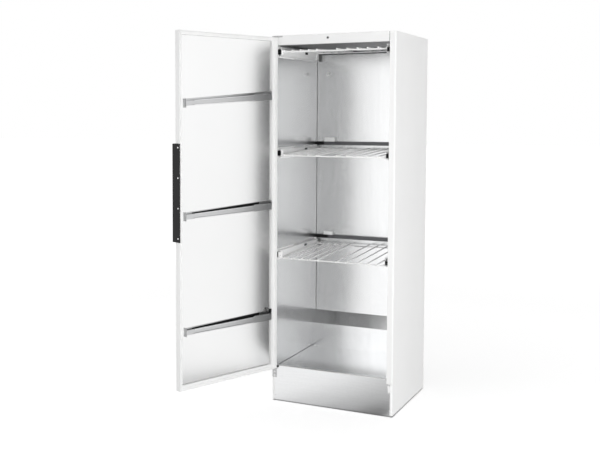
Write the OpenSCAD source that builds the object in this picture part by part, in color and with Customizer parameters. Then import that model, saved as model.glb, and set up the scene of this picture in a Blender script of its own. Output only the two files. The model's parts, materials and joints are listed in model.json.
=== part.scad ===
// Free-standing drying cabinet. A white steel case holds a galvanised lining, three pull-out wire
// racks on telescopic slides and a blower with a heater under the floor. The door carries three
// hanging rails, a black edge grip and the controls. It is drawn standing open.
// The origin is on the floor at the middle of the case, -Y is the front.

/* [Case] */
// Outside width of the case
case_w = 595; // [560:5:640]
// Outside depth of the case without the door
case_d = 520; // [500:5:600]
// Height above the floor
case_h = 1740; // [1700:10:1850]
// Thickness of the sheet steel
sheet = 1; // [0.8:0.1:1.2]
// Radius of the bent upright front corners
corner_r = 7; // [4:1:9]
// Width of the front frame on the hinge side
frame_l = 22; // [20:1:28]
// Width of the front frame on the grip side
frame_r = 29; // [24:1:34]
// Height of the front rail over the opening
header_h = 44; // [40:1:52]
// Height of the floor inside
floor_z = 170; // [168:1:180]

/* [Lining] */
// Depth of the inside above the air duct
inside_d = 508; // [494:1:509]
// How far the air duct stands forward of the back
duct_d = 53; // [40:1:60]
// Height of the duct's front wall, where the slope starts
duct_z = 290; // [280:1:300]
// Height where the slope meets the back
slope_z = 350; // [340:1:360]
// Slots at the right end of the duct that let warm air out
slot_count = 13; // [6:1:13]
// Width of one air slot
slot_w = 5; // [3:0.5:6]

/* [Racks] */
// Heights of the slides' middles, lowest first
slide_z = [706, 1189, 1664];
// How far the wires' front ends lie below each slide's middle
rack_drop = [15, 8, -5];
// How far a rack pulls out
rack_travel = 350; // [200:10:360]
// Slope of the wires down to the front, in degrees
rack_tilt = 2.4; // [0:0.1:2.5]
// Thickness of the coated wires
wire_d = 6; // [4:0.5:7]
// First bar of the left group, from the middle of the case
bar_x_left = -238; // [-240:1:-230]
// Spacing of the bars in the left group
bar_pitch_left = 40.5; // [30:0.5:42]
// First bar of the right group
bar_x_right = 22; // [10:1:30]
// Spacing of the bars in the right group
bar_pitch_right = 48.5; // [30:0.5:49]
// Bars in each group
bar_count = 5; // [3:1:5]
// Height of a slide's fixed channel
slide_h = 40; // [36:1:42]

/* [Door] */
// Width of the door
door_w = 590; // [565:5:592]
// Thickness of the door
door_t = 32; // [30:1:36]
// Height of the door's lower edge
door_z0 = 160; // [160:1:162]
// Height of the door's upper edge
door_z1 = 1731; // [1690:1:1731]
// How far the door stands open
door_angle = 111.2; // [0:0.1:112]
// Depth of the lining's recess in the door
door_recess = 9; // [8:1:20]
// Heights of the hanging rails' undersides, at their middles
rail_z = [406.5, 922, 1424];
// Length of a hanging rail
rail_l = 505; // [400:1:506]
// Depth of a hanging rail at its hinge end
rail_d = 26; // [22:1:38]
// Height of a hanging rail's front lip at the hinge end
rail_h = 28; // [18:1:30]
// How far each hanging rail rises towards the hinge, in degrees
rail_tilt = [0.1, 1.6, 3.6];

/* [Grip] */
// Height of the grip's lower end
grip_z0 = 816; // [780:1:840]
// Length of the grip
grip_l = 429; // [300:1:460]

/* [Hidden] */
$fn = 48;
eps = 0.01;

// Opening and walls
x_left = -case_w / 2 + frame_l;
x_right = case_w / 2 - frame_r;
inside_w = x_right - x_left;
header_z = case_h - header_h;
foot_z = 6;
pan_z = 12;
plinth_z = 150;
return_d = 4;
seam = 1.6;
duct_y = inside_d - duct_d;

// Door and its hinge line
hinge_x = -case_w / 2 + 12.5;
hinge_y = -16;
door_x0 = -case_w / 2 + 2.5;
door_x1 = door_x0 + door_w;
door_yi = -4;
door_yo = door_yi - door_t;
rim_free = 10;
rim_hinge = 37;
rim_top = 18;
rim_low = 27;
win_x0 = door_x0 + rim_hinge;
win_x1 = door_x1 - rim_free;
win_z0 = door_z0 + rim_low;
win_z1 = door_z1 - rim_top;
pin_r = 4;
bush_bore_r = 4.05;
bush_r = 6.5;
hinge_z = door_z0 - 5;

// Slides and racks, and the lower edges of the ledges behind them
ledge_low = [26, 26, 14];
slide_y0 = 8;
slide_y1 = 488;
slide_t = 17;
slide_mid_x = 6.2;
rack_y0 = -7;
rack_y1 = 484;

// Blower
fan_x = -90;
fan_y = 250;
fan_z = 34;
fan_h = 84;

module from_front() {
    translate([0, -case_d / 2, 0]) children();
}

module box(x0, x1, y0, y1, z0, z1) {
    translate([x0, y0, z0]) cube([x1 - x0, y1 - y0, z1 - z0]);
}

// A round bar or tube along Y
module rod_y(x, y0, y1, z, r) {
    translate([x, y0, z]) rotate([-90, 0, 0]) cylinder(r = r, h = y1 - y0);
}

// A round bar along X
module rod_x(x0, x1, y, z, r) {
    translate([x0, y, z]) rotate([0, 90, 0]) cylinder(r = r, h = x1 - x0);
}

// Takes a piece from the closed door to the door standing open
module on_door() {
    from_front()
        translate([hinge_x, hinge_y, 0])
            rotate([0, 0, -door_angle])
                translate([-hinge_x, -hinge_y, 0]) children();
}

/* Case */

// Section of a side wall, drawn from its outer front corner with +X inward
module side_section(frame) {
    translate([0, corner_r]) square([sheet, case_d - corner_r - sheet]);
    translate([corner_r, 0]) square([frame - corner_r, sheet]);
    translate([frame - sheet, 0]) square([sheet, return_d]);
    translate([0, case_d - 2 * sheet]) square([24, sheet]);
    intersection() {
        square(corner_r);
        translate([corner_r, corner_r]) difference() {
            circle(corner_r);
            circle(corner_r - sheet);
        }
    }
}

module side_wall(frame) {
    difference() {
        translate([0, 0, foot_z]) linear_extrude(case_h - sheet - foot_z) side_section(frame);
        // the front flange is narrow beside the plinth
        box(12, frame + 1, -1, return_d + 1, foot_z - 1, plinth_z + 0.3);
    }
}

module side_panel_left() {
    color("white") from_front() translate([-case_w / 2, 0, 0]) side_wall(frame_l);
}

module side_panel_right() {
    color("white") from_front() translate([case_w / 2, 0, 0]) mirror([1, 0, 0]) side_wall(frame_r);
}

module header() {
    color("white") from_front() difference() {
        union() {
            box(x_left + 0.2, x_right - 0.2, 0, sheet, header_z, case_h - sheet);
            box(x_left + 0.2, x_right - 0.2, 0, 30, header_z, header_z + sheet);
            box(x_left + 0.2, x_right - 0.2, 0, 20, case_h - 2 * sheet, case_h - sheet);
        }
        rod_y(-25, -1, 3, case_h - 18, 4.1);
    }
}

module top_panel() {
    color("white") from_front() difference() {
        translate([0, 0, case_h - sheet]) linear_extrude(sheet) {
            translate([-case_w / 2, corner_r]) square([case_w, case_d - corner_r]);
            translate([-case_w / 2 + corner_r, 0]) square([case_w - 2 * corner_r, 2 * corner_r]);
            for (s = [-1, 1])
                translate([s * (case_w / 2 - corner_r), corner_r]) circle(corner_r);
        }
        translate([0, 400, case_h - 3]) cylinder(r = 48, h = 6);
    }
}

module back_panel() {
    color("gainsboro") from_front() difference() {
        box(-case_w / 2, case_w / 2, case_d - sheet, case_d, foot_z, case_h - sheet);
        // wall fixing holes
        for (s = [-1, 1]) rod_y(s * 200, case_d - 3, case_d + 2, case_h - 40, 4);
        // air intake
        for (i = [0:11])
            box(-206 + i * 20, -194 + i * 20, case_d - 3, case_d + 2, 50, 130);
        rod_y(230, case_d - 3, case_d + 2, 90, 10);
    }
}

module base_pan() {
    color("silver") from_front() difference() {
        union() {
            box(-case_w / 2 + 2, case_w / 2 - 2, 14, case_d - 3, pan_z, pan_z + 2);
            for (s = [-1, 1])
                box(s * (case_w / 2 - 3.1) - 1, s * (case_w / 2 - 3.1) + 1, 14, case_d - 3, pan_z, 60);
        }
        for (x = [-1, 1], y = [50, case_d - 50])
            translate([x * (case_w / 2 - 45), y, pan_z - 1]) cylinder(r = 5.2, h = 4);
    }
}

module plinth() {
    color("silver") from_front() difference() {
        union() {
            box(-case_w / 2 + 12.3, case_w / 2 - 12.3, 0, sheet, foot_z, plinth_z);
            box(x_left + 0.3, x_right - 0.3, 0, sheet, plinth_z - 1, floor_z + 1);
            box(x_left + 0.3, x_right - 0.3, 0, 26, floor_z, floor_z + 1);
            box(-case_w / 2 + 14, case_w / 2 - 14, 0, 12, foot_z, foot_z + sheet);
        }
        for (s = [-1, 1]) rod_y(s * (case_w / 2 - 17), -1, 2, 25, 2.1);
    }
}

module plinth_screws() {
    color("silver") from_front() for (s = [-1, 1]) {
        rod_y(s * (case_w / 2 - 17), -1.6, 0, 25, 3.6);
        rod_y(s * (case_w / 2 - 17), 0, 8, 25, 2);
    }
}

module levelling_feet() {
    color("dimgray") from_front()
        for (x = [-1, 1], y = [50, case_d - 50])
            translate([x * (case_w / 2 - 45), y, 0]) {
                cylinder(r = 20, h = 6);
                cylinder(r = 9, h = pan_z - 0.1, $fn = 6);
                cylinder(r = 5, h = 34);
            }
}

/* Lining */

module liner_left() {
    color("lightgray") from_front()
        box(x_left - sheet, x_left, return_d + 0.2, inside_d, floor_z - 1, header_z);
}

module liner_right() {
    color("lightgray") from_front()
        box(x_right, x_right + sheet, return_d + 0.2, inside_d, floor_z - 1, header_z);
}

module liner_ceiling() {
    color("lightgray") from_front() difference() {
        box(x_left - sheet, x_right + sheet, 30.2, inside_d, header_z, header_z + sheet);
        translate([0, 400, header_z - 1]) cylinder(r = 46, h = 4);
    }
}

module liner_back() {
    color("lightgray") from_front() difference() {
        box(x_left + seam, x_right, inside_d - sheet, inside_d, slope_z, header_z - 0.1);
        for (a = [90, 210, 330])
            rod_y(-213 + 6 * cos(a), inside_d - 3, inside_d + 1, 1580 + 6 * sin(a), 2.1);
    }
}

// The slope's face runs from the duct's front wall up to the back
module liner_duct() {
    rise = slope_z - duct_z;
    tilt = atan2(duct_d - sheet, rise);
    run = sqrt(rise * rise + (duct_d - sheet) * (duct_d - sheet));
    color("lightgray") from_front() {
        translate([x_left, duct_y, duct_z]) rotate([-tilt, 0, 0]) cube([inside_w, sheet, run]);
        difference() {
            box(x_left, x_right, duct_y, duct_y + sheet, floor_z, duct_z + 0.4);
            for (i = [0:slot_count - 1])
                translate([x_right - 12 - slot_w - i * 9.6, duct_y - 1, floor_z + 14])
                    cube([slot_w, sheet + 2, duct_z - floor_z - 28]);
        }
    }
}

module liner_floor() {
    color("lightgray") from_front()
        box(x_left + seam, x_right, 26.2, duct_y, floor_z - sheet, floor_z);
}

module rear_ledges() {
    color("dimgray") from_front() for (i = [0:2]) {
        z0 = slide_z[i] + ledge_low[i];
        z1 = min(slide_z[i] + 44, header_z - 1);
        difference() {
            box(x_left + 0.2, x_right - 0.2, 492, inside_d - sheet, z0, z1);
            box(x_left - 1, x_right + 1, 493.2, inside_d - sheet + 1, z0 - 1, z1 - 1.2);
        }
    }
}

module air_sensor() {
    color("gray") from_front() {
        rod_y(-213, inside_d, inside_d + 8, 1580, 10);
        for (a = [90, 210, 330])
            rod_y(-213 + 6 * cos(a), inside_d - 3, inside_d + 1, 1580 + 6 * sin(a), 2);
    }
}

module door_sensor() {
    color("dimgray") from_front() {
        rod_y(-25, -0.3, 10, case_h - 18, 4);
        rod_y(-25, sheet, 4, case_h - 18, 7);
    }
}

module exhaust_collar() {
    color("gainsboro") from_front() translate([0, 400, 0]) difference() {
        union() {
            translate([0, 0, header_z + sheet]) cylinder(r = 48, h = case_h - header_z + 27);
            translate([0, 0, case_h]) cylinder(r = 62, h = 2);
        }
        translate([0, 0, header_z]) cylinder(r = 46, h = 80);
    }
}

module mains_inlet() {
    color("black") from_front() difference() {
        union() {
            rod_y(230, case_d - 14, case_d, 90, 9.6);
            rod_y(230, case_d, case_d + 4, 90, 14);
            rod_y(230, case_d + 4, case_d + 14, 90, 10);
            translate([230, case_d - 8, 90]) rotate([-90, 0, 0]) cylinder(r = 15, h = 6.8, $fn = 6);
        }
        rod_y(230, case_d - 15, case_d + 15, 90, 4.5);
    }
}

/* Hinges */

module hinge_arm(z0, z1) {
    translate([hinge_x, hinge_y, z0]) cylinder(r = 11, h = z1 - z0);
    box(hinge_x - 11, hinge_x + 11, hinge_y, 0, z0, z1);
}

module hinge_lower() {
    color("darkgray") from_front() difference() {
        union() {
            hinge_arm(hinge_z, hinge_z + 3);
            box(-case_w / 2 + 1.5, x_left + 1, -2, 0, 114, hinge_z + 3);
        }
        translate([hinge_x, hinge_y, hinge_z - 1]) cylinder(r = pin_r, h = 5);
    }
}

module hinge_upper() {
    color("white") from_front() difference() {
        union() {
            hinge_arm(door_z1 + 2, door_z1 + 5);
            box(-case_w / 2 + 1.5, x_left + 25, -1.5, 0, door_z1 + 1, case_h - 1.5);
        }
        translate([hinge_x, hinge_y, door_z1 + 1]) cylinder(r = pin_r, h = 5);
    }
}

module hinge_pins() {
    color("silver") from_front() {
        translate([hinge_x, hinge_y, hinge_z]) cylinder(r = pin_r, h = door_z0 + 16 - hinge_z);
        translate([hinge_x, hinge_y, door_z1 - 16]) cylinder(r = pin_r, h = 21);
    }
}

// A clip-on cover over the place for the lower hinge when the door is hung on the right
module spare_hinge_cover() {
    color("white") from_front() translate([case_w / 2, 0, 0]) rotate([90, 0, 0]) linear_extrude(3)
        polygon([[-21.5, 120], [-21.5, 146], [-18.5, 146], [-16.5, 138], [-4.5, 157], [-1.5, 157],
            [-1.5, 150], [-7.5, 140], [-7.5, 118], [-11.5, 112], [-18.5, 112]]);
}

/* Slides, drawn for the left wall with x = 0 at the wall */

module channel(x0, x1, y0, y1, z, h, t) {
    box(x0, x0 + t, y0, y1, z - h / 2, z + h / 2);
    for (s = [-1, 1])
        box(x0, x1, y0, y1, z + s * (h / 2 - t / 2) - t / 2, z + s * (h / 2 - t / 2) + t / 2);
}

module slide_fixed(z) {
    channel(0, slide_t, slide_y0, slide_y1, z, slide_h, 1.2);
    for (s = [-1, 1])
        box(slide_t - 1.2, slide_t, slide_y0, slide_y1,
            z + s * (slide_h / 2 - 2) - 2, z + s * (slide_h / 2 - 2) + 2);
    // wall flange at the front and stand-off at the rear
    box(0, 1.2, slide_y0, 200, z - slide_h / 2 - 6, z + slide_h / 2 + 6);
    box(0, 6, slide_y1 - 1, slide_y1 + 3, z + 8, z + slide_h / 2 + 8);
}

module slide_mid(z) {
    channel(slide_mid_x, slide_t - 1.8, slide_y0 + 4, slide_y1 - 2, z, slide_h - 4.4, 1.2);
}

module slide_inner(z) {
    translate([slide_t - 2, 0, 0]) mirror([1, 0, 0])
        channel(0, 6.4, slide_y0 + 2, slide_y1 - 4, z, slide_h - 9, 1.4);
}

// The front end cap reaches up by rise, the clip halfway back locks the rack
module slide_cap(z, rise) {
    box(slide_mid_x, 12.8, 2.4, slide_y0 - 0.4, z - 13, z + rise);
    box(slide_mid_x + 2.5, slide_t - 2.2, slide_y0 - 0.6, slide_y0 + 2, z - 9, z + rise - 4);
    box(slide_t - 2, slide_t + 0.8, 305, 332, z + 5, z + 15.4);
}

// Places a left-hand piece on the left wall, and its mirror image on the right wall
module on_left() {
    from_front() translate([x_left, 0, 0]) children();
}

module on_right() {
    from_front() translate([x_right, 0, 0]) mirror([1, 0, 0]) children();
}

// The lowest left slide has a drilled plate on its front end
module slide_plate(z) {
    difference() {
        box(slide_mid_x, slide_t + 10, 1, 2.4, z - 19, z + 13);
        for (k = [0:2]) rod_y(slide_mid_x + 4 + k * 8, 0, 4, z - 12 + k * 8, 2);
    }
}

module slides_fixed(i) {
    color("white") {
        on_left() slide_fixed(slide_z[i]);
        on_right() slide_fixed(slide_z[i]);
    }
}

module slide_mid_left(i) {
    color("silver") on_left() slide_mid(slide_z[i]);
}

module slide_mid_right(i) {
    color("silver") on_right() slide_mid(slide_z[i]);
}

module slides_inner(i) {
    color("white") {
        on_left() slide_inner(slide_z[i]);
        on_right() slide_inner(slide_z[i]);
        if (i == 0) on_left() slide_plate(slide_z[i]);
    }
}

module slide_caps(i) {
    color("black") {
        on_left() slide_cap(slide_z[i], 13);
        on_right() slide_cap(slide_z[i], 5);
    }
}

/* Racks */

bar_x = concat(
    [for (i = [0:bar_count - 1]) bar_x_left + i * bar_pitch_left],
    [for (i = [0:bar_count - 1]) bar_x_right + i * bar_pitch_right]
);
wire_r = wire_d / 2;
// Side wires lie beside the tabs that hang on the slides
side_x = [x_left + slide_t + 1.8 + wire_r, x_right - slide_t - 1.8 - wire_r];

// Height of the wires' plane at depth y
function wire_z(i, y) = slide_z[i] - rack_drop[i] + (y - rack_y0) * tan(rack_tilt);

module rack_tab(y, z0, z, z1) {
    box(slide_t + 0.4, slide_t + 2.2, y, y + 22, z0, z1);
    box(slide_t - 2, slide_t + 2.2, y, y + 22, z - 12, z + 10);
}

module rack(i) {
    length = rack_y1 - rack_y0;
    color("white") {
        from_front() translate([0, rack_y0, slide_z[i] - rack_drop[i]]) rotate([rack_tilt, 0, 0]) {
            for (x = bar_x) {
                rod_y(x, 0, length, 0, wire_r);
                translate([x, 0, 0]) sphere(wire_r * 1.3);
            }
            for (x = side_x) rod_y(x, 24, length, 0, wire_r);
            for (y = [30, length - 22])
                rod_x(side_x[0] - 1, side_x[1] + 1, y, -wire_d + 0.4, wire_r);
        }
        // tabs that hang the wires on the slides
        for (y = [20, 450]) {
            zl = min(wire_z(i, y) - wire_r, slide_z[i] - 12);
            zh = max(wire_z(i, y) + wire_d, slide_z[i] + 10);
            on_left() rack_tab(y, zl, slide_z[i], zh);
            on_right() rack_tab(y, zl, slide_z[i], zh);
        }
    }
}

/* Door, drawn closed */

module door_slab(inset) {
    r = 5 - inset;
    translate([0, 0, door_z0 + inset]) linear_extrude(door_z1 - door_z0 - 2 * inset) {
        translate([door_x0 + inset, door_yo + 5]) square([door_w - 2 * inset, door_t - 5 - inset]);
        translate([door_x0 + 5, door_yo + inset]) square([door_w - 10, 10]);
        for (x = [door_x0 + 5, door_x1 - 5]) translate([x, door_yo + 5]) circle(r);
    }
}

module door_skin() {
    color("white") on_door() difference() {
        union() {
            difference() {
                door_slab(0);
                door_slab(sheet);
            }
            box(win_x0 - sheet, win_x1 + sheet, door_yi - door_recess, door_yi - eps,
                win_z0 - sheet, win_z1 + sheet);
        }
        box(win_x0, win_x1, door_yi - door_recess - 1, door_yi + 1, win_z0, win_z1);
        // holes for the hinge bushes
        translate([hinge_x, hinge_y, door_z0 - 1]) cylinder(r = bush_r, h = 3);
        translate([hinge_x, hinge_y, door_z1 - 2]) cylinder(r = bush_r, h = 3);
    }
}

module door_liner() {
    color("lightgray") on_door()
        box(win_x0 - sheet, win_x1 + sheet, door_yi - door_recess - sheet, door_yi - door_recess,
            win_z0 - sheet, win_z1 + sheet);
}

module door_core() {
    color("khaki") on_door()
        box(hinge_x + 10, door_x1 - 4, door_yo + 1.2, door_yi - door_recess - 1.2,
            door_z0 + 1.4, door_z1 - 1.4);
}

module door_gasket() {
    color("white") on_door() difference() {
        box(door_x0 + 12, door_x1 - 2.5, door_yi, -0.5, door_z0 + 6, door_z1 - 5);
        box(door_x0 + 20, door_x1 - 9, door_yi - 1, 1, door_z0 + 14, door_z1 - 13);
    }
}

// An edge plate with a lip round the front that the fingers go behind
module door_grip() {
    color([0.15, 0.15, 0.15]) on_door() difference() {
        union() {
            box(door_x1, door_x1 + 4, door_yo - 14, -2, grip_z0, grip_z0 + grip_l);
            box(door_x1 - 30, door_x1 + 4, door_yo - 14, door_yo - 10.5, grip_z0, grip_z0 + grip_l);
            box(door_x1 - 12, door_x1 + 1, door_yo - 2, door_yo, grip_z0, grip_z0 + grip_l);
        }
        for (z = screw_z) rod_x(door_x1 - 1, door_x1 + 2.5, -12, z, 2);
        for (z = screw_z) rod_x(door_x1 + 2.5, door_x1 + 5, -12, z, 3.6);
    }
}

screw_z = [for (k = [0:3]) grip_z0 + 17 + k * (grip_l - 34) / 3];

module grip_screws() {
    color("silver") on_door() for (z = screw_z) {
        rod_x(door_x1 + 2.5, door_x1 + 4.2, -12, z, 3.5);
        rod_x(door_x1, door_x1 + 2.5, -12, z, 1.9);
    }
}

module hinge_bushes() {
    color("black") on_door() difference() {
        union() {
            translate([hinge_x, hinge_y, door_z0]) cylinder(r = bush_r, h = 18);
            translate([hinge_x, hinge_y, door_z0 - 1.4]) cylinder(r = 9, h = 1.4);
            translate([hinge_x, hinge_y, door_z1 - 18]) cylinder(r = bush_r, h = 18);
            translate([hinge_x, hinge_y, door_z1]) cylinder(r = 9, h = 1.4);
        }
        translate([hinge_x, hinge_y, door_z0 - 3]) cylinder(r = bush_bore_r, h = 20);
        translate([hinge_x, hinge_y, door_z1 - 17]) cylinder(r = bush_bore_r, h = 20);
    }
}

rail_x0 = (win_x0 + win_x1) / 2 - rail_l / 2 - 4;
rail_x1 = rail_x0 + rail_l;
rail_y0 = door_yi - door_recess;
// Depth and lip height at the end by the grip
rail_d_end = 12;
rail_h_end = rail_h - 6;

// Places a rail drawn with z = 0 at its underside, tilted about its middle
module on_rail(i) {
    xm = (rail_x0 + rail_x1) / 2;
    on_door() translate([xm, 0, rail_z[i]]) rotate([0, rail_tilt[i], 0]) translate([-xm, 0, 0]) children();
}

// Plan of a strip along the rail's slanting front, from a to b behind it
module front_strip(a, b, x0, x1) {
    slope = (rail_d_end - rail_d) / rail_l;
    y0 = rail_y0 + rail_d + (x0 - rail_x0) * slope;
    y1 = rail_y0 + rail_d + (x1 - rail_x0) * slope;
    polygon([[x0, y0 - b], [x1, y1 - b], [x1, y1 - a], [x0, y0 - a]]);
}

// A tapered upright plate from y0 to y1, h0 high at the hinge end and h1 at the grip end
module tapered_plate(y0, y1, h0, h1) {
    translate([0, y1, 0]) rotate([90, 0, 0]) linear_extrude(y1 - y0)
        polygon([[rail_x0 + 1.6, 0], [rail_x1 - 1.6, 0], [rail_x1 - 1.6, h1], [rail_x0 + 1.6, h0]]);
}

// An open channel that narrows towards the grip: back flange, floor and front lip
module rail(i) {
    x0 = rail_x0 + 1.6;
    x1 = rail_x1 - 1.6;
    color("silver") on_rail(i) {
        tapered_plate(rail_y0, rail_y0 + 1.2, rail_h + 11, rail_h_end + 8);
        linear_extrude(1.2) polygon([[x0, rail_y0], [x1, rail_y0],
            [x1, rail_y0 + rail_d_end - 3], [x0, rail_y0 + rail_d - 3]]);
        intersection() {
            linear_extrude(rail_h) front_strip(2, 3.2, x0, x1);
            tapered_plate(rail_y0, rail_y0 + rail_d, rail_h, rail_h_end);
        }
    }
}

// End plates, a sleeve and a backing plate at the hinge end, a block at the grip end
module rail_brackets() {
    color("silver") for (i = [0:2]) on_rail(i) {
        box(rail_x1 - 1.6, rail_x1, rail_y0, rail_y0 + rail_d_end, -8, 31);
        box(rail_x0, rail_x0 + 1.6, rail_y0, rail_y0 + rail_d, -2, 41);
        translate([0, 0, -2]) linear_extrude(1.9)
            polygon([[rail_x0, rail_y0], [rail_x0 + 110, rail_y0],
                [rail_x0 + 110, rail_y0 + rail_d - 5], [rail_x0, rail_y0 + rail_d - 1]]);
        translate([0, 0, -2]) linear_extrude(rail_h + 4) front_strip(0.1, 1.9, rail_x0, rail_x0 + 110);
        box(rail_x0 + 1, rail_x0 + 58, rail_y0 + 1.2, rail_y0 + 2.4, 1.2, rail_h + 9);
        linear_extrude(rail_h_end - 1) front_strip(0.1, 1.9, rail_x1 - 40, rail_x1 - 1);
    }
}

/* Controls on the outside of the door, drawn closed */

button_r = 9;
button_x = [door_x1 - 150, door_x1 - 110];
panel_z = 1340;

module control_panel() {
    color([0.1, 0.1, 0.11]) on_door() difference() {
        box(door_x1 - 260, door_x1 - 80, door_yo - 6, door_yo, panel_z - 32, panel_z + 32);
        for (x = button_x) rod_y(x, door_yo - 7, door_yo + 1, panel_z, button_r + 0.4);
    }
}

module button(i) {
    color("silver") on_door() rod_y(button_x[i], door_yo - 7.6, door_yo - 2, panel_z, button_r);
}

/* Blower and heater under the floor */

module fan_housing() {
    color("silver") from_front() difference() {
        union() {
            translate([fan_x, fan_y, fan_z]) cylinder(r = 104, h = fan_h);
            box(fan_x + 24, fan_x + 104, fan_y, case_d - 60, fan_z, fan_z + fan_h);
            translate([fan_x, fan_y, pan_z + 2]) difference() {
                cylinder(r = 74, h = fan_z - pan_z - 1);
                translate([0, 0, -1]) cylinder(r = 72, h = fan_z);
                for (a = [0, 90]) rotate([0, 0, a]) translate([-80, -30, -1]) cube([160, 60, 17]);
            }
        }
        translate([fan_x, fan_y, fan_z + 2]) cylinder(r = 102, h = fan_h - 4);
        box(fan_x + 26, fan_x + 102, fan_y, case_d - 59, fan_z + 2, fan_z + fan_h - 2);
        translate([fan_x, fan_y, fan_z - 1]) cylinder(r = 60, h = 5);
        translate([fan_x, fan_y, fan_z + fan_h - 3]) cylinder(r = 8, h = 5);
    }
}

module fan_motor() {
    color("dimgray") from_front() translate([fan_x, fan_y, fan_z + fan_h]) {
        difference() {
            cylinder(r = 46, h = 42);
            translate([0, 0, -1]) cylinder(r = 5.05, h = 30);
        }
    }
}

module fan_impeller() {
    color("black") from_front() translate([fan_x, fan_y, fan_z + 6]) {
        cylinder(r = 5, h = fan_h + 18);
        translate([0, 0, 60]) cylinder(r = 90, h = 2.5);
        cylinder(r = 16, h = 62);
        for (a = [0:30:330])
            rotate([0, 0, a]) translate([52, 0, 4]) rotate([0, 0, 35]) cube([36, 2, 57]);
        difference() {
            translate([0, 0, 2]) cylinder(r = 90, h = 2.5);
            translate([0, 0, 1]) cylinder(r = 56, h = 5);
        }
    }
}

module heater() {
    color("gray") from_front() {
        for (s = [-1, 1]) box(s * 170 - 1, s * 170 + 1, 466, case_d - sheet, 190, 270);
        for (k = [0:2]) rod_x(-170, 170, 484, 206 + k * 24, 4);
        for (k = [0:2], n = [0:12])
            translate([-150 + n * 25, 484, 206 + k * 24]) rotate([0, 90, 0]) cylinder(r = 10, h = 1);
    }
}

side_panel_left();
side_panel_right();
header();
top_panel();
back_panel();
base_pan();
plinth();
plinth_screws();
levelling_feet();
liner_left();
liner_right();
liner_ceiling();
liner_back();
liner_duct();
liner_floor();
rear_ledges();
air_sensor();
door_sensor();
exhaust_collar();
mains_inlet();
hinge_lower();
hinge_upper();
hinge_pins();
spare_hinge_cover();
slides_fixed(0);  // slides_fixed_low
slides_fixed(1);  // slides_fixed_mid
slides_fixed(2);  // slides_fixed_top
slide_mid_left(0);  // slide_mid_low_left
slide_mid_right(0);  // slide_mid_low_right
slide_mid_left(1);  // slide_mid_mid_left
slide_mid_right(1);  // slide_mid_mid_right
slide_mid_left(2);  // slide_mid_top_left
slide_mid_right(2);  // slide_mid_top_right
slides_inner(0);  // slides_inner_low
slides_inner(1);  // slides_inner_mid
slides_inner(2);  // slides_inner_top
slide_caps(0);  // slide_caps_low
slide_caps(1);  // slide_caps_mid
slide_caps(2);  // slide_caps_top
rack(0);  // rack_low
rack(1);  // rack_mid
rack(2);  // rack_top
door_skin();
door_liner();
door_core();
door_gasket();
door_grip();
grip_screws();
hinge_bushes();
rail(0);  // rail_low
rail(1);  // rail_mid
rail(2);  // rail_top
rail_brackets();
control_panel();
button(0);  // start_button
button(1);  // program_button
fan_housing();
fan_motor();
fan_impeller();
heater();
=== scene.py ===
import json
import math

import bmesh
import bpy
from mathutils import Matrix, Vector


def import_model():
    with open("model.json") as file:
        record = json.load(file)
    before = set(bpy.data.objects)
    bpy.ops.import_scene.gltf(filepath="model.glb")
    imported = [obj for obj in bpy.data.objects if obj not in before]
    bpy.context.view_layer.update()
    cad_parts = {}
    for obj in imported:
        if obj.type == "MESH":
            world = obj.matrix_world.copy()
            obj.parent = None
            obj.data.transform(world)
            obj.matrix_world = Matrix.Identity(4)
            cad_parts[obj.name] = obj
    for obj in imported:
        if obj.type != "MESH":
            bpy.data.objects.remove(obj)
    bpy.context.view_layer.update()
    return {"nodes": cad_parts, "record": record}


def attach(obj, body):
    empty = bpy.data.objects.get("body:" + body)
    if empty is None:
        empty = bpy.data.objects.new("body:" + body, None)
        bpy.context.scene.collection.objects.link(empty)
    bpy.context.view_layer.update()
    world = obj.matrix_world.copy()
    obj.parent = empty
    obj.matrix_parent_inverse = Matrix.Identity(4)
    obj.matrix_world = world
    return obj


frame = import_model()
NODES = frame["nodes"]
SCENE = bpy.context.scene


# ---------------------------------------------------------------- the part's places
# Millimetres, with y from the case's front backwards. Door pieces are placed on the closed door.

CASE_D = 520
FOOTPRINT = (0.2975, 0.26)  # half the case's width and depth in metres
X_LEFT, X_RIGHT = -275.5, 268.5
BACK_Y = 507
DUCT_Y = 455
LEDGE_Y = 492
FLOOR_Z = 170
SILL_Z = 171
SLOPE_Z = 290
HEADER_Z, CASE_H = 1696, 1740
SLIDE_Z = (706, 1189, 1664)
DOOR_SENSOR = (-25, 0, 1722)
AIR_SENSOR = (-213, 505, 1580)
COLLAR = (0, 400, 1742)
HINGE = Vector((-285, -16, 0))
DOOR_ANGLE = 111.2
DOOR_X1 = 295
PANEL_Y, PANEL_Z = -42, 1340
RAIL_X0, RAIL_L = -243, 505
RAIL_D, RAIL_D_END = 26, 12
RAIL_Y0 = -13
HIGHLIGHT_BAND_CLEAR = 6  # how far the bands of painted highlight stand off the rail's front: a known fault
RAIL_Z = (406.5, 922, 1424)
RAIL_TILT = (0.1, 1.6, 3.6)

FRONTWARD, BACKWARD, UPWARD = (0, -1, 0), (0, 1, 0), (0, 0, 1)

ON_DOOR = (Matrix.Translation(HINGE) @ Matrix.Rotation(-math.radians(DOOR_ANGLE), 4, "Z")
           @ Matrix.Translation(-HINGE))
TO_FRAME = Matrix.Scale(0.001, 4) @ Matrix.Translation((0, -CASE_D / 2, 0))

# ---------------------------------------------------------------- light and mirrored surroundings
# Curves are pairs of a position in metres, or of a direction's part, and a level.

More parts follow.
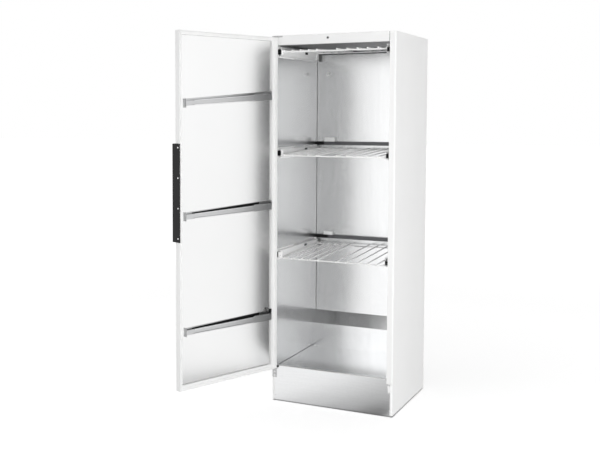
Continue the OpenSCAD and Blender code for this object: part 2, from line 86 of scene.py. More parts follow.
WHITE = (1, 1, 1, 1)
FLOOR_COLOR = (0.68, 0.68, 0.68)
FLOOR_GLOW = ((0, 0.58), (2.5, 0.66), (6, 0.80), (12, 0.84))
WORLD_LEVEL = 0.52
MIRROR_LEVEL = 1.33
CARD_Y = -1.26
CARD_W, CARD_H, CARD_Z = 3.9, 2.6, 1.3
CARD_FADE = ((0.7, 0), (1.25, 1))
SHADE = ((-1.9, 1), (-1.2, 0.55), (-0.66, 0.53), (-0.52, 0.85), (-0.42, 1), (-0.2, 1), (0, 0.66),
         (0.11, 0.40), (0.267, 0.08), (0.378, 0.30), (0.543, 0.74), (0.62, 0.86), (0.9, 1))
LANE_ACROSS = (0.889, 0.457, 0)
LANE = ((-0.65, 0.92), (-0.47, 0.82), (-0.24, 0.53), (-0.12, 0.38), (0.06, 0.14), (0.14, 0.3),
        (0.24, 0.92))
LANE_SIDE = ((0.24, 0), (0.34, 1))
BESIDE_LANE = (0.95, 0.95, 0.95, 1)
CARD_BLEND = (0.75, 0.05, 0.002)  # where the card's shade starts on the floor, and its two soft ends
CEILING = ((0.24, 1.0), (0.36, 0.07))
CEILING_RISE = ((0.30, 1), (0.75, 0))
LINING_SWING = -5.2
FLOOR_SWING = 1.5

LAMPS = (  # name, place, aim, size and watts
    ("top", (-1.2, -1.4, 4.2), (0, 0, 0.4), (3.2, 3.2), 15),
    ("front_right", (3.3, -2.6, 0.8), (0, 0, 0.6), (2.4, 1.5), 82),
    ("front", (1.3, -4.0, 1.0), (0, 0, 0.8), (1.4, 1.2), 36),
    ("front_left", (-3.6, -2.4, 1.0), (0, 0, 0.7), (2.4, 1.6), 28),
)

# The camera, from the photograph's frame of 600 by 450 pixels
FRAME_W, FRAME_H = 600, 450
FOCAL_PX = 937.3
CENTRE_PX = (225, 174.4)
CAMERA_AT = (1.5323, -4.3116, 1.3627)
CAMERA_PITCH, CAMERA_YAW = -3.55, 27.24


# ---------------------------------------------------------------- node helpers

class Tree:
    """A material's node tree with short calls for the nodes used here."""

    def __init__(self, name, plain_color, metallic=0.0, roughness=0.5, **sockets):
        self.mat = bpy.data.materials.new(name)
        self.mat.use_nodes = True
        self.nt = self.mat.node_tree
        self.nt.nodes.clear()
        out = self.nt.nodes.new("ShaderNodeOutputMaterial")
        self.shader = self.nt.nodes.new("ShaderNodeBsdfPrincipled")
        self.link(self.shader.outputs[0], out.inputs[0])
        self.shader.inputs["Base Color"].default_value = (*plain_color, 1)
        self.shader.inputs["Metallic"].default_value = metallic
        self.shader.inputs["Roughness"].default_value = roughness
        for key, value in sockets.items():
            self.shader.inputs[key.replace("_", " ")].default_value = value
        self.mat.diffuse_color = (*plain_color, 1)

    def link(self, a, b):
        self.nt.links.new(a, b)

    def coords(self, scale=(1, 1, 1)):
        place = self.nt.nodes.new("ShaderNodeTexCoord")
        mapping = self.nt.nodes.new("ShaderNodeMapping")
        mapping.inputs["Scale"].default_value = scale
        self.link(place.outputs["Object"], mapping.inputs["Vector"])
        return mapping.outputs[0]

    def along(self, axis, start, end):
        """How far a point lies from start to end on an axis of the part's frame, 0 to 1."""
        n = self.nt.nodes.new("ShaderNodeSeparateXYZ")
        self.link(self.coords(), n.inputs[0])
        return self.remap(n.outputs[axis], 0.0, 1.0, start, end)

    def noise(self, scale, detail=3, stretch=(1, 1, 1), rough=0.5):
        n = self.nt.nodes.new("ShaderNodeTexNoise")
        n.inputs["Scale"].default_value = scale
        n.inputs["Detail"].default_value = detail
        n.inputs["Roughness"].default_value = rough
        self.link(self.coords(stretch), n.inputs["Vector"])
        return n.outputs["Fac"]

    def cells(self, scale):
        """The distance from the middle of an irregular cell."""
        n = self.nt.nodes.new("ShaderNodeTexVoronoi")
        n.inputs["Scale"].default_value = scale
        self.link(self.coords(), n.inputs["Vector"])
        return n.outputs["Distance"]

    def ramp(self, fac, *stops):
        """Colours or grey levels at stops of fac."""
        n = self.nt.nodes.new("ShaderNodeValToRGB")
        while len(n.color_ramp.elements) < len(stops):
            n.color_ramp.elements.new(0.5)
        for e, (pos, col) in zip(n.color_ramp.elements, stops):
            e.position = pos
            e.color = (*col, 1) if isinstance(col, tuple) else (col, col, col, 1)
        self.link(fac, n.inputs[0])
        return n.outputs[0]

    def remap(self, fac, a, b, low=0.0, high=1.0):
        """From a to b while fac goes from low to high."""
        n = self.nt.nodes.new("ShaderNodeMapRange")
        n.inputs["From Min"].default_value = low
        n.inputs["From Max"].default_value = high
        n.inputs["To Min"].default_value = a
        n.inputs["To Max"].default_value = b
        self.link(fac, n.inputs["Value"])
        return n.outputs[0]

    def add(self, a, b):
        n = self.nt.nodes.new("ShaderNodeMath")
        n.operation = "ADD"
        self.link(a, n.inputs[0])
        self.link(b, n.inputs[1])
        return n.outputs[0]

    def mix(self, a, b, fac, mode="MIX"):
        n = self.nt.nodes.new("ShaderNodeMix")
        n.data_type = "RGBA"
        n.blend_type = mode
        for socket, v in ((n.inputs[6], a), (n.inputs[7], b)):
            if isinstance(v, tuple):
                socket.default_value = (*v, 1)
            else:
                self.link(v, socket)
        if isinstance(fac, (int, float)):
            n.inputs[0].default_value = fac
        else:
            self.link(fac, n.inputs[0])
        return n.outputs[2]

    def bump(self, height, strength, distance=0.001, below=None):
        n = self.nt.nodes.new("ShaderNodeBump")
        n.inputs["Strength"].default_value = strength
        n.inputs["Distance"].default_value = distance
        self.link(height, n.inputs["Height"])
        if below is not None:
            self.link(below, n.inputs["Normal"])
        return n.outputs[0]

    def swung(self, degrees, axis="Z_AXIS"):
        """The surface's normal turned about an axis, as on a sheet that bows a little."""
        n = self.nt.nodes.new("ShaderNodeVectorRotate")
        n.rotation_type = axis
        n.inputs["Angle"].default_value = math.radians(degrees)
        self.link(self.nt.nodes.new("ShaderNodeNewGeometry").outputs["Normal"], n.inputs["Vector"])
        return n.outputs[0]

    def edge(self, radius=0.0008):
        """The surface's normal with its sharp edges rounded."""
        n = self.nt.nodes.new("ShaderNodeBevel")
        n.samples = 4
        n.inputs["Radius"].default_value = radius
        return n.outputs[0]

    def to(self, socket, value):
        self.link(value, self.shader.inputs[socket])


# ---------------------------------------------------------------- materials

def white_paint():
    t = Tree("white_paint", (0.86, 0.86, 0.855), roughness=0.36, Specular_IOR_Level=0.5)
    tone = t.ramp(t.noise(1.6, 2), (0.3, (0.845, 0.847, 0.845)), (0.7, (0.87, 0.87, 0.866)))
    dust = t.remap(t.noise(60, 4, rough=0.7), 0.0, 0.05, 0.55, 0.85)
    t.to("Base Color", t.mix(tone, (0.80, 0.79, 0.77), dust))
    t.to("Roughness", t.remap(t.noise(14, 4), 0.32, 0.42, 0.3, 0.7))
    peel = t.bump(t.noise(750, 2), 0.10, 0.0002, t.edge())
    t.to("Normal", t.bump(t.noise(3.0, 1), 0.12, 0.002, peel))
    return t.mat


def lining_sheet(name="lining_sheet", tone=1.0, swing=0, slope=False):
    """Bright sheet with a faint spangle. Tone scales its colour, for lighter copies of the sheet that
    paint light. With slope, the face above the duct is painted darker towards the left, a painted shade
    standing in for the dim ceiling it mirrors.
    """
    t = Tree(name, (0.84, 0.845, 0.85), metallic=0.95, roughness=0.18)
    spangle = t.remap(t.cells(60), 0.0, 1.0, 0.0, 0.7)
    color = t.ramp(spangle, (0.0, (0.83, 0.835, 0.84)), (1.0, (0.86, 0.865, 0.87)))
    streak = t.noise(14, 3, stretch=(3, 3, 0.3), rough=0.5)
    color = t.mix(color, (0.81, 0.815, 0.82), t.remap(streak, 0.0, 0.2, 0.4, 0.8))
    # Tone scales the colour; above 1 it makes a lighter copy of the sheet, painted light.
    color = t.mix(color, (tone, tone, tone), 1.0, "MULTIPLY")
    # Painted shade: on the duct's slope the sheet darkens towards the left.
    if slope:
        across = t.along("X", X_LEFT / 1000, X_RIGHT / 1000)
        slope_painted_shade = t.ramp(across, (0.0, 0.52), (0.3, 0.53), (0.55, 0.62), (0.85, 1.0))
        above = t.along("Z", (SLOPE_Z - 0.5) / 1000, (SLOPE_Z + 0.5) / 1000)
        color = t.mix(color, t.mix(color, slope_painted_shade, 1.0, "MULTIPLY"), above)
    t.to("Base Color", color)
    t.to("Roughness", t.add(t.remap(streak, 0.19, 0.22, 0.3, 0.7), t.remap(spangle, -0.005, 0.01)))
    below = t.swung(swing, "X_AXIS") if swing else t.edge(0.0006)
    t.to("Normal", t.bump(t.noise(2.2, 1), 0.04, 0.003, below))
    return t.mat


def door_lining():
    t = Tree("door_lining", (0.75, 0.75, 0.75), metallic=0.92, roughness=0.2)
    cloud = t.noise(2.4, 3)
    tone = t.ramp(cloud, (0.3, (0.735, 0.737, 0.737)), (0.7, (0.752, 0.753, 0.752)))
    streak = t.noise(60, 3, stretch=(1, 1, 0.05), rough=0.5)
    t.to("Base Color", t.mix(tone, (0.725, 0.727, 0.73), t.remap(streak, 0.0, 0.12, 0.4, 0.8)))
    t.to("Roughness", t.remap(t.noise(300, 3), 0.19, 0.22, 0.3, 0.7))
    t.to("Normal", t.bump(t.noise(500, 2), 0.02, 0.0001, t.swung(LINING_SWING)))
    return t.mat


def hinge_steel():
    t = Tree("hinge_steel", (0.52, 0.52, 0.52), metallic=0.3, roughness=0.42)
    t.to("Base Color", t.ramp(t.noise(90, 4), (0.3, (0.47, 0.47, 0.472)), (0.7, (0.57, 0.57, 0.57))))
    t.to("Roughness", t.remap(t.noise(240, 3), 0.36, 0.5, 0.3, 0.7))
    t.to("Normal", t.bump(t.noise(600, 3), 0.12, 0.0002, t.edge(0.0008)))
    return t.mat


def zinc_sheet(name="zinc_sheet", tone=1.0):
    t = Tree(name, (0.72, 0.73, 0.74), metallic=1.0, roughness=0.32)
    grain = t.noise(16, 4, stretch=(0.8, 10, 14), rough=0.55)
    flake = t.cells(90)
    color = t.ramp(grain, (0.3, (0.745, 0.75, 0.755)), (0.7, (0.79, 0.795, 0.80)))
    color = t.mix(color, (0.84, 0.845, 0.85), t.remap(flake, 0.0, 0.35))
    # Tone below 1 makes a darker copy of the zinc, painted shade.
    t.to("Base Color", t.mix(color, (tone, tone, tone), 1.0, "MULTIPLY"))
    t.to("Roughness", t.remap(grain, 0.29, 0.34, 0.3, 0.7))
    t.to("Normal", t.bump(t.noise(40, 3, stretch=(0.5, 8, 12)), 0.02, 0.0002, t.edge()))
    return t.mat


def slide_steel():
    t = Tree("slide_steel", (0.94, 0.94, 0.94), metallic=0.08, roughness=0.34)
    grain = t.noise(22, 4, stretch=(12, 0.5, 12), rough=0.6)
    t.to("Base Color", t.ramp(grain, (0.3, (0.92, 0.922, 0.92)), (0.65, (0.96, 0.96, 0.958))))
    t.to("Roughness", t.remap(grain, 0.30, 0.42, 0.3, 0.7))
    t.to("Normal", t.bump(t.noise(160, 3), 0.08, 0.0003, t.edge(0.0005)))
    return t.mat


def coated_wire():
    t = Tree("coated_wire", (0.95, 0.95, 0.94), roughness=0.22, Coat_Weight=0.35, Coat_Roughness=0.12)
    t.to("Base Color", t.ramp(t.noise(30, 3), (0.3, (0.94, 0.94, 0.935)), (0.7, (0.97, 0.97, 0.965))))
    t.to("Roughness", t.remap(t.noise(80, 3), 0.18, 0.3, 0.3, 0.7))
    t.to("Normal", t.bump(t.noise(220, 3), 0.10, 0.0003))
    return t.mat


def black_plastic():
    t = Tree("black_plastic", (0.012, 0.012, 0.0125), roughness=0.5, Specular_IOR_Level=0.22)
    scuff = t.noise(45, 5, stretch=(1, 1, 0.25), rough=0.7)
    t.to("Base Color", t.ramp(scuff, (0.45, (0.006, 0.006, 0.0065)), (0.8, (0.014, 0.014, 0.0145))))
    t.to("Roughness", t.remap(scuff, 0.42, 0.58, 0.35, 0.7))
    t.to("Normal", t.bump(t.noise(1400, 2), 0.25, 0.0002, t.edge(0.0008)))
    return t.mat


def dark_steel():
    t = Tree("dark_steel", (0.2, 0.2, 0.205), metallic=0.9, roughness=0.4)
    grain = t.noise(30, 4, stretch=(0.6, 8, 8), rough=0.6)
    t.to("Base Color", t.ramp(grain, (0.3, (0.10, 0.102, 0.107)), (0.7, (0.17, 0.172, 0.178))))
    t.to("Roughness", t.remap(grain, 0.34, 0.5, 0.3, 0.7))
    t.to("Normal", t.bump(t.noise(300, 3), 0.12, 0.0003, t.edge()))
    return t.mat


def bright_steel():
    t = Tree("bright_steel", (0.8, 0.8, 0.81), metallic=1.0, roughness=0.24)
    t.to("Base Color", t.ramp(t.noise(120, 3), (0.3, (0.74, 0.745, 0.755)), (0.7, (0.86, 0.86, 0.865))))
    t.to("Roughness", t.remap(t.noise(400, 3), 0.18, 0.34, 0.3, 0.7))
    t.to("Normal", t.bump(t.noise(900, 2), 0.10, 0.0001, t.edge(0.0004)))
    return t.mat


def seal_rubber():
    t = Tree("seal_rubber", (0.88, 0.88, 0.87), roughness=0.6, Sheen_Weight=0.15)
    t.to("Base Color", t.ramp(t.noise(35, 4), (0.3, (0.85, 0.85, 0.845)), (0.7, (0.90, 0.90, 0.895))))
    t.to("Roughness", t.remap(t.noise(90, 3), 0.52, 0.68, 0.3, 0.7))
    t.to("Normal", t.bump(t.noise(700, 2), 0.2, 0.0002))
    return t.mat


def foam():
    t = Tree("foam", (0.80, 0.74, 0.55), roughness=0.9)
    pore = t.cells(900)
    t.to("Base Color", t.ramp(pore, (0.1, (0.62, 0.55, 0.36)), (0.6, (0.84, 0.78, 0.60))))
    t.to("Roughness", t.remap(pore, 0.95, 0.85))
    t.to("Normal", t.bump(pore, 0.5, 0.0006))
    return t.mat


def control_gloss():
    t = Tree("control_gloss", (0.02, 0.02, 0.022), roughness=0.12, Coat_Weight=0.6, Coat_Roughness=0.05)
    smear = t.noise(18, 5, rough=0.7)
    t.to("Base Color", t.ramp(smear, (0.4, (0.018, 0.018, 0.02)), (0.8, (0.03, 0.03, 0.032))))
    t.to("Roughness", t.remap(smear, 0.08, 0.2, 0.4, 0.8))
    t.to("Normal", t.bump(t.noise(6, 1), 0.03, 0.001, t.edge(0.0008)))
    return t.mat


def button_plastic():
    t = Tree("button_plastic", (0.5, 0.505, 0.51), roughness=0.42)
    t.to("Base Color", t.ramp(t.noise(70, 4), (0.3, (0.46, 0.465, 0.47)), (0.7, (0.55, 0.555, 0.56))))
    t.to("Roughness", t.remap(t.noise(200, 3), 0.36, 0.5, 0.3, 0.7))
    t.to("Normal", t.bump(t.noise(1500, 2), 0.2, 0.0002, t.edge(0.0006)))
    return t.mat


def heater_steel():
    t = Tree("heater_steel", (0.42, 0.38, 0.34), metallic=1.0, roughness=0.4)
    heat = t.noise(14, 4, stretch=(1, 6, 6))
    t.to("Base Color", t.ramp(heat, (0.25, (0.30, 0.25, 0.24)), (0.5, (0.46, 0.40, 0.34)),
                              (0.8, (0.55, 0.5, 0.42))))
    t.to("Roughness", t.remap(heat, 0.32, 0.5, 0.3, 0.7))
    t.to("Normal", t.bump(t.noise(500, 3), 0.15, 0.0003))
    return t.mat


MAKERS = {
    "white_steel": white_paint, "lining_sheet": lining_sheet, "zinc_sheet": zinc_sheet,
    "slide_steel": slide_steel, "coated_wire": coated_wire, "black_plastic": black_plastic,
    "dark_steel": dark_steel, "bright_steel": bright_steel, "seal_rubber": seal_rubber,
    "foam": foam, "control_gloss": control_gloss, "button_plastic": button_plastic,
    "heater_steel": heater_steel, "door_lining": door_lining, "hinge_steel": hinge_steel,
}
MATS = {slot: make() for slot, make in MAKERS.items()}


def dress():
    """Gives every CAD node the material of its slot. The cabinet's floor and duct get lighter copies of
    the lining, painted light, and the rails, their brackets, the back panel and the base pan a darker
    copy of the zinc, painted shade.
    """
    for part in frame["record"]["subparts"]:
        obj = NODES[part["node"]]
        obj.data.materials.clear()
        obj.data.materials.append(MATS[part["material_slot"]])
    # Lighter copies of the lining sheet: painted light on the cabinet's floor and duct.
    NODES["liner_floor"].data.materials[0] = lining_sheet("lining_floor", 1.14, FLOOR_SWING)
    NODES["liner_duct"].data.materials[0] = lining_sheet("lining_duct", 1.1, slope=True)
    # A darker copy of the zinc sheet: painted shade on the rails, their brackets, the back panel and the
    # base pan.
    shaded_zinc_copy = zinc_sheet("zinc_painted_shade", 0.66)
    for name in ("rail_low", "rail_mid", "rail_top", "rail_brackets", "back_panel", "base_pan"):
        NODES[name].data.materials[0] = shaded_zinc_copy


# ---------------------------------------------------------------- small pieces

def on_rail(i):
    """From a rail drawn closed with z = 0 at its underside to the tilted rail on the open door."""
    middle = Vector((RAIL_X0 + RAIL_L / 2, 0, 0))
    return (ON_DOOR @ Matrix.Translation(middle + Vector((0, 0, RAIL_Z[i])))
            @ Matrix.Rotation(math.radians(RAIL_TILT[i]), 4, "Y") @ Matrix.Translation(-middle))


def block(x0, x1, y0, y1, z0, z1, bevel=0.5):
    """A block with rounded edges."""
    def add(bm, place):
        size = Matrix.Diagonal((x1 - x0, y1 - y0, z1 - z0, 1))
        made = bmesh.ops.create_cube(bm, size=1)["verts"]
        bmesh.ops.transform(bm, verts=made, matrix=Matrix.Translation(
            ((x0 + x1) / 2, (y0 + y1) / 2, (z0 + z1) / 2)) @ size)
        edges = list({e for v in made for e in v.link_edges})
        made = bmesh.ops.bevel(bm, geom=edges + made, offset=bevel, segments=2, profile=0.5,
                               affect="EDGES")["verts"] + [v for v in made if v.is_valid]
        bmesh.ops.transform(bm, verts=list({v for v in made if v.is_valid}), matrix=place)
    return add


def turned(at, axis, profile):
    """A turned shape about an axis, from points of radius and height."""
    sides = 24

    def add(bm, place):
        turn = Vector(axis).to_track_quat("Z", "Y").to_matrix().to_4x4()
        put = place @ Matrix.Translation(at) @ turn
        rings = [[bm.verts.new(put @ Vector((rad * math.cos(a), rad * math.sin(a), up)))
                  for a in (2 * math.pi * k / sides for k in range(sides))] for rad, up in profile]
        for low, high in zip(rings, rings[1:]):
            for k in range(sides):
                bm.faces.new((low[k], low[(k + 1) % sides], high[(k + 1) % sides], high[k]))
        bm.faces.new(list(reversed(rings[0])))
        bm.faces.new(rings[-1])
    return add


def bridge(bm, first, second):
    """A closed body between two rings of four points."""
    for k in range(4):
        bm.faces.new((first[k], first[(k + 1) % 4], second[(k + 1) % 4], second[k]))
    bm.faces.new(first)
    bm.faces.new(list(reversed(second)))


def channel_shade_strip():
    """Painted shade: a thin black strip on the rail's back flange, narrowing towards the grip, standing
    in for the shadow inside the channel.
    """
    def add(bm, place):
        outline = ((-184, 9), (221, 9), (221, 26.5), (-184, 37))
        bridge(bm, *([bm.verts.new(place @ Vector((x, y, z))) for x, z in outline]
                     for y in (RAIL_Y0 + 1.2, RAIL_Y0 + 2.6)))
    return add


def highlight_band(x0, x1, z0, z1, height, depth):
    """A thin band of the lighter zinc along the rail's slanting front, from height z0 at x0 to z1 at x1:
    a painted highlight on the darker rail.
    """
    front = RAIL_Y0 + RAIL_D + HIGHLIGHT_BAND_CLEAR

    def add(bm, place):
        ends = []
        for x, z in ((x0, z0), (x1, z1)):
            y = front - (x - RAIL_X0) * (RAIL_D - RAIL_D_END) / RAIL_L + depth
            ends.append([bm.verts.new(place @ Vector((x, y + dy, z + dz)))
                         for dy, dz in ((-0.1, 0), (0.4, 0.1), (0.4, height - 0.1), (-0.1, height))])
        bridge(bm, *ends)
    return add


def screw(at, axis, r):
    """A pan head with a round socket."""
    return turned(at, axis, ((r, -0.2), (r, 0.28 * r), (0.85 * r, 0.48 * r), (0.5 * r, 0.56 * r),
                             (0.42 * r, 0.54 * r), (0.36 * r, 0.2 * r)))


def piece(name, slot, body, shapes, place=Matrix.Identity(4)):
    """One object of several shapes, riding on a body."""
    bm = bmesh.new()
    for add in shapes:
        add(bm, TO_FRAME @ place)
    bmesh.ops.recalc_face_normals(bm, faces=bm.faces)
    mesh = bpy.data.meshes.new(name)
    bm.to_mesh(mesh)
    bm.free()
    for face in mesh.polygons:
        face.use_smooth = True
    mesh.set_sharp_from_angle(angle=math.radians(35))
    obj = bpy.data.objects.new(name, mesh)
    SCENE.collection.objects.link(obj)
    mesh.materials.append(MATS[slot])
    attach(obj, body)


def cabinet_details():
    stops = []
    for z in SLIDE_Z:
        stops.append(block(X_LEFT + 0.3, X_LEFT + 4.8, 2.4, 8, z - 12, z + 12))
        stops.append(block(X_RIGHT - 4.8, X_RIGHT - 0.3, 2.4, 8, z - 12, z + 5))
    piece("slide_stops", "black_plastic", "cabinet", stops)
    # Black blocks at the ledges' left ends: painted shade, standing in for the dark corner there.
    piece("ledge_end_shade", "black_plastic", "cabinet",
          [block(X_LEFT + 0.4, X_LEFT + w, LEDGE_Y - 5, LEDGE_Y, SLIDE_Z[i] + low, SLIDE_Z[i] + high, 0.8)
           for i, w, low, high in ((0, 68, 27, 43), (1, 44, 27, 43), (2, 22, 20, 29))])
    # White blocks just above the low and middle ledges' left ends: painted highlights, standing in for a
    # bright reflection on the back wall.
    piece("ledge_highlights", "coated_wire", "cabinet",
          [block(X_LEFT + 46, X_LEFT + w, LEDGE_Y - 3, BACK_Y, SLIDE_Z[i] + 43.5, SLIDE_Z[i] + high, 1.5)
           for i, w, high in ((0, 96, 62), (1, 104, 65))])
    piece("sill_plug", "black_plastic", "cabinet",
          [block(X_LEFT + 1, X_LEFT + 12.5, -0.4, 0.3, SILL_Z - 7, SILL_Z + 0.2, 0.2)])
    piece("sill_strip", "coated_wire", "cabinet",
          [block(X_LEFT + 12, X_RIGHT - 1, 0.4, 15, SILL_Z + 0.05, SILL_Z + 0.6, 0.15)])
    piece("floor_joint", "dark_steel", "cabinet",
          [block(X_LEFT + 0.2, X_LEFT + 2.4, 27, DUCT_Y - 1, FLOOR_Z + 0.05, FLOOR_Z + 0.5, 0.1)])
    piece("sensor_ring", "button_plastic", "cabinet",
          [turned(DOOR_SENSOR, FRONTWARD,
                  ((7, -0.2), (7, 0.2), (6.4, 0.45), (4.3, 0.45), (4.2, -0.1)))])
    x, y, z = AIR_SENSOR
    piece("stub_caps", "coated_wire", "cabinet",
          [turned((x + 6 * math.cos(a), y, z + 6 * math.sin(a)), FRONTWARD,
                  ((4.6, -1.5), (4.6, 4.6), (3.4, 6)))
           for a in (math.radians(90 + 120 * k) for k in range(3))])
    piece("hinge_screws", "bright_steel", "cabinet",
          [screw((HINGE.x + 1, -2, z), FRONTWARD, 4) for z in (124, 142)])
    piece("lining_screws", "bright_steel", "cabinet",
          [screw((-103, BACK_Y, 660), FRONTWARD, 4.5), screw((-180, 43, FLOOR_Z), UPWARD, 4),
           screw((-262, DUCT_Y - 3, FLOOR_Z), UPWARD, 6)])
    piece("back_slot", "black_plastic", "cabinet",
          [block(-65, -6, BACK_Y - 0.3, BACK_Y + 0.2, 694, 697, 0.2)])
    piece("header_joint", "dark_steel", "cabinet",
          [block(X_RIGHT - 2.3, X_RIGHT - 0.3, -0.15, 0.4, HEADER_Z + 1, CASE_H - 1.2, 0.1)])
    piece("back_screws", "bright_steel", "cabinet",
          [screw((x, CASE_D, z), BACKWARD, 4)
           for x in (-285, 285) for z in (40, 450, 870, 1290, CASE_H - 40)]
          + [screw((x, CASE_D, z), BACKWARD, 4) for x in (-100, 100) for z in (24, CASE_H - 12)])
    x, y, z = COLLAR
    piece("collar_rivets", "bright_steel", "cabinet",
          [screw((x + 55 * math.cos(a), y + 55 * math.sin(a), z), UPWARD, 3)
           for a in (math.radians(45 + 90 * k) for k in range(4))])


def door_details():
    for i, level in enumerate(("low", "mid", "top")):
        place = on_rail(i)
        piece("rail_screws_" + level, "bright_steel", "door",
              [screw((-200, RAIL_Y0 + 1.2, 20), BACKWARD, 3),
               screw((-228, RAIL_Y0 + 2.4, 20), BACKWARD, 3.2),
               screw((252, RAIL_Y0 + 1.2, 12), BACKWARD, 2.6)], place)
        # Bands of the lighter zinc along the rails' edges: painted highlights.
        piece("rail_highlight_bands_" + level, "zinc_sheet", "door",
              [highlight_band(RAIL_X0 + 112, 218, 0.4, 0.4, 3, -2), highlight_band(RAIL_X0 + 112, 218, 23.2, 19.4, 2.6, -2),
               highlight_band(RAIL_X0 + 12, RAIL_X0 + 54, -1.6, -1.6, 2.4, -0.1),
               highlight_band(RAIL_X0 + 20, RAIL_X0 + 60, 26.2, 26.2, 2.4, -0.1)], place)
    # Black strips in the low and middle rails' channels: painted shade.
    for i, level in enumerate(("low", "mid")):
        piece("rail_shade_strip_" + level, "black_plastic", "door", [channel_shade_strip()], on_rail(i))
    piece("rail_clip", "black_plastic", "door", [block(-244.5, -236, 0, 12.6, 34, 50, 1)], on_rail(0))
    piece("panel_trim", "bright_steel", "door",
          [turned((DOOR_X1 - back, PANEL_Y - 0.2, PANEL_Z), FRONTWARD,
                  ((11.4, 0), (11.4, 0.6), (10.9, 0.9), (9.6, 0.9), (9.5, 0.0)))
           for back in (150, 110)], ON_DOOR)
    piece("panel_window", "button_plastic", "door",
          [block(DOOR_X1 - 248, DOOR_X1 - 176, PANEL_Y - 0.5, PANEL_Y + 0.4,
                 PANEL_Z - 18, PANEL_Z + 18, 0.4)], ON_DOOR)


# ---------------------------------------------------------------- floor, lights, camera

def value_ramp(nt, value, stops, low, high):
    """A smooth curve through stops of position and level, for values from low to high."""
    span = nt.nodes.new("ShaderNodeMapRange")
    span.inputs["From Min"].default_value = low
    span.inputs["From Max"].default_value = high
    nt.links.new(value, span.inputs["Value"])
    n = nt.nodes.new("ShaderNodeValToRGB")
    n.color_ramp.interpolation = "EASE"
    while len(n.color_ramp.elements) < len(stops):
        n.color_ramp.elements.new(0.5)
    for e, (pos, level) in zip(n.color_ramp.elements, stops):
        e.position = (pos - low) / (high - low)
        e.color = (level, level, level, 1)
    nt.links.new(span.outputs[0], n.inputs[0])
    return n.outputs[0]


def feed(nt, socket, value):
    """Links a socket to another node's output, or sets its number or colour."""
    if isinstance(value, (tuple, float, int)):
        socket.default_value = value
    else:
        nt.links.new(value, socket)


def calc(nt, operation, *values):
    """The result of a math node."""
    n = nt.nodes.new("ShaderNodeMath")
    n.operation = operation
    for socket, value in zip(n.inputs, values):
        feed(nt, socket, value)
    return n.outputs[0]


def vector_node(nt, operation, *values):
    n = nt.nodes.new("ShaderNodeVectorMath")
    n.operation = operation
    for socket, value in zip(n.inputs, values):
        feed(nt, socket, value)
    return n


def directed(nt, vector, direction):
    """How far a vector reaches in a direction."""
    return vector_node(nt, "DOT_PRODUCT", vector, tuple(Vector(direction).normalized())).outputs["Value"]


def blend_colors(nt, fac, a, b):
    """From colour a to colour b while fac goes from 0 to 1."""
    n = nt.nodes.new("ShaderNodeMix")
    n.data_type = "RGBA"
    for socket, value in ((n.inputs[0], fac), (n.inputs[6], a), (n.inputs[7], b)):
        feed(nt, socket, value)
    return n.outputs[2]


def shade_card():
    """A soft grey gradient that only mirrored rays pass, like a studio's shade in front."""
    bpy.ops.mesh.primitive_plane_add(size=1, location=(0, CARD_Y, CARD_Z), rotation=(math.pi / 2, 0, 0))
    obj = bpy.context.object
    obj.name = "shade_card"
    obj.data.transform(Matrix.Diagonal((CARD_W, CARD_H, 1, 1)))
    mat = bpy.data.materials.new("shade_card")
    mat.use_nodes = True
    nt = mat.node_tree
    nt.nodes.clear()
    out = nt.nodes.new("ShaderNodeOutputMaterial")
    place = nt.nodes.new("ShaderNodeTexCoord").outputs["Object"]
    shade = value_ramp(nt, directed(nt, place, (1, 0, 0)), SHADE, -2, 2)
    fade = value_ramp(nt, directed(nt, place, (0, 1, 0)), CARD_FADE, -CARD_H / 2, CARD_H / 2)
    clear = nt.nodes.new("ShaderNodeBsdfTransparent")
    nt.links.new(blend_colors(nt, fade, shade, WHITE), clear.inputs["Color"])
    nt.links.new(clear.outputs[0], out.inputs[0])
    obj.data.materials.append(mat)
    obj.visible_camera = obj.visible_diffuse = obj.visible_shadow = obj.visible_transmission = False


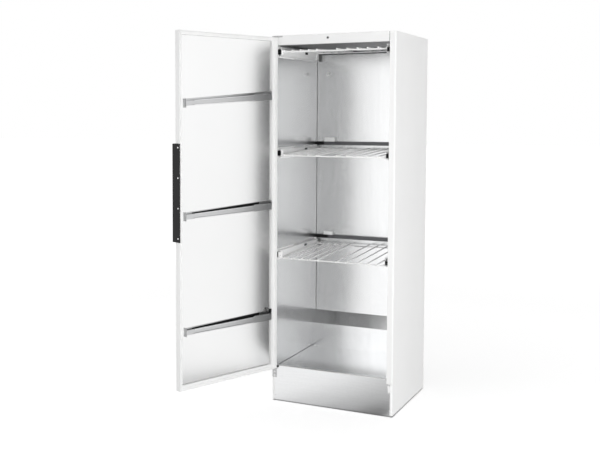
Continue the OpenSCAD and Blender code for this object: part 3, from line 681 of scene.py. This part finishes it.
def floor():
    """White to the camera, with the real soft shadow and a painted shadow under the case, where the glow
    stops. Metal mirrors it with a dim lane in front.
    """
    bpy.ops.mesh.primitive_plane_add(size=80, location=(0, 0, 0))
    obj = bpy.context.object
    obj.name = "floor"
    mat = bpy.data.materials.new("floor_white")
    mat.use_nodes = True
    nt = mat.node_tree
    nt.nodes.clear()
    out = nt.nodes.new("ShaderNodeOutputMaterial")
    place = nt.nodes.new("ShaderNodeTexCoord").outputs["Object"]
    path = nt.nodes.new("ShaderNodeLightPath")

    diffuse = nt.nodes.new("ShaderNodeBsdfDiffuse")
    diffuse.inputs["Color"].default_value = (*FLOOR_COLOR, 1)
    far = vector_node(nt, "LENGTH", place).outputs["Value"]
    shown = nt.nodes.new("ShaderNodeEmission")
    nt.links.new(value_ramp(nt, far, FLOOR_GLOW, 0, 12), shown.inputs["Color"])
    # No glow inside the case's footprint: a painted shadow under the case.
    spread = vector_node(nt, "MULTIPLY", place, (1 / FOOTPRINT[0], 1 / FOOTPRINT[1], 0))
    parts = nt.nodes.new("ShaderNodeSeparateXYZ")
    nt.links.new(spread.outputs[0], parts.inputs[0])
    outside = calc(nt, "MAXIMUM", *(calc(nt, "ABSOLUTE", parts.outputs[axis]) for axis in ("X", "Y")))
    outside_painted_shadow = calc(nt, "GREATER_THAN", outside, 1.0)
    nt.links.new(calc(nt, "MULTIPLY", outside_painted_shadow, path.outputs["Is Camera Ray"]), shown.inputs["Strength"])
    seen = nt.nodes.new("ShaderNodeAddShader")
    nt.links.new(diffuse.outputs[0], seen.inputs[0])
    nt.links.new(shown.outputs[0], seen.inputs[1])

    mirrored = nt.nodes.new("ShaderNodeEmission")
    lane = value_ramp(nt, directed(nt, place, LANE_ACROSS), LANE, -2, 2)
    aside = value_ramp(nt, directed(nt, place, (1, 0, 0)), LANE_SIDE, -2, 2)
    lane = blend_colors(nt, aside, lane, BESIDE_LANE)
    shade = value_ramp(nt, directed(nt, place, (1, 0, 0)), SHADE, -2, 2)
    ahead = directed(nt, place, (0, -1, 0))
    start, before, behind = CARD_BLEND
    towards = value_ramp(nt, ahead, ((start, 0), (-CARD_Y - before, 1)), 0, 2)
    beyond = value_ramp(nt, ahead, ((-CARD_Y, 0), (-CARD_Y + behind, 1)), 0, 2)
    near = blend_colors(nt, towards, lane, shade)
    nt.links.new(blend_colors(nt, beyond, near, WHITE), mirrored.inputs["Color"])
    mirrored.inputs["Strength"].default_value = MIRROR_LEVEL
    pick = nt.nodes.new("ShaderNodeMixShader")
    nt.links.new(path.outputs["Is Glossy Ray"], pick.inputs[0])
    nt.links.new(seen.outputs[0], pick.inputs[1])
    nt.links.new(mirrored.outputs[0], pick.inputs[2])
    nt.links.new(pick.outputs[0], out.inputs[0])
    obj.data.materials.append(mat)


def world():
    """Bright walls of light all round and a dim ceiling."""
    w = bpy.data.worlds.new("studio")
    SCENE.world = w
    w.use_nodes = True
    nt = w.node_tree
    nt.nodes.clear()
    out = nt.nodes.new("ShaderNodeOutputWorld")
    place = nt.nodes.new("ShaderNodeTexCoord").outputs["Generated"]
    path = nt.nodes.new("ShaderNodeLightPath")
    ceiling = value_ramp(nt, directed(nt, place, (1, 0, 0)), CEILING, -1, 1)
    low = value_ramp(nt, directed(nt, place, (0, 0, 1)), CEILING_RISE, -1, 1)
    height = blend_colors(nt, low, ceiling, WHITE)

    def light(strength, color=WHITE):
        n = nt.nodes.new("ShaderNodeBackground")
        n.inputs["Strength"].default_value = strength
        feed(nt, n.inputs["Color"], color)
        return n.outputs[0]

    def choose(ray, no, yes):
        n = nt.nodes.new("ShaderNodeMixShader")
        nt.links.new(path.outputs[ray], n.inputs[0])
        nt.links.new(no, n.inputs[1])
        nt.links.new(yes, n.inputs[2])
        return n.outputs[0]

    lit = choose("Is Glossy Ray", light(WORLD_LEVEL, height), light(MIRROR_LEVEL, height))
    nt.links.new(choose("Is Camera Ray", lit, light(1.0)), out.inputs[0])


def lamp(name, at, aim, size, power):
    """A soft light that mirrors do not show."""
    data = bpy.data.lights.new(name, "AREA")
    data.shape = "RECTANGLE"
    data.size, data.size_y = size
    data.energy = power
    obj = bpy.data.objects.new(name, data)
    SCENE.collection.objects.link(obj)
    obj.location = at
    obj.rotation_euler = (Vector(aim) - Vector(at)).to_track_quat("-Z", "Y").to_euler()
    obj.visible_glossy = False


def camera():
    """The photograph's view, by focal length and centre in its pixels."""
    data = bpy.data.cameras.new("camera")
    obj = bpy.data.objects.new("camera", data)
    SCENE.collection.objects.link(obj)
    data.sensor_width = 36
    data.lens = FOCAL_PX / FRAME_W * data.sensor_width
    data.shift_x = (FRAME_W / 2 - CENTRE_PX[0]) / FRAME_W
    data.shift_y = -(FRAME_H / 2 - CENTRE_PX[1]) / FRAME_W
    data.clip_end = 200
    obj.location = CAMERA_AT
    obj.rotation_euler = (math.radians(90 + CAMERA_PITCH), 0, math.radians(CAMERA_YAW))
    SCENE.camera = obj


dress()
cabinet_details()
door_details()
camera()
floor()
shade_card()
world()
for spec in LAMPS:
    lamp(*spec)
SCENE.view_settings.view_transform = "Standard"
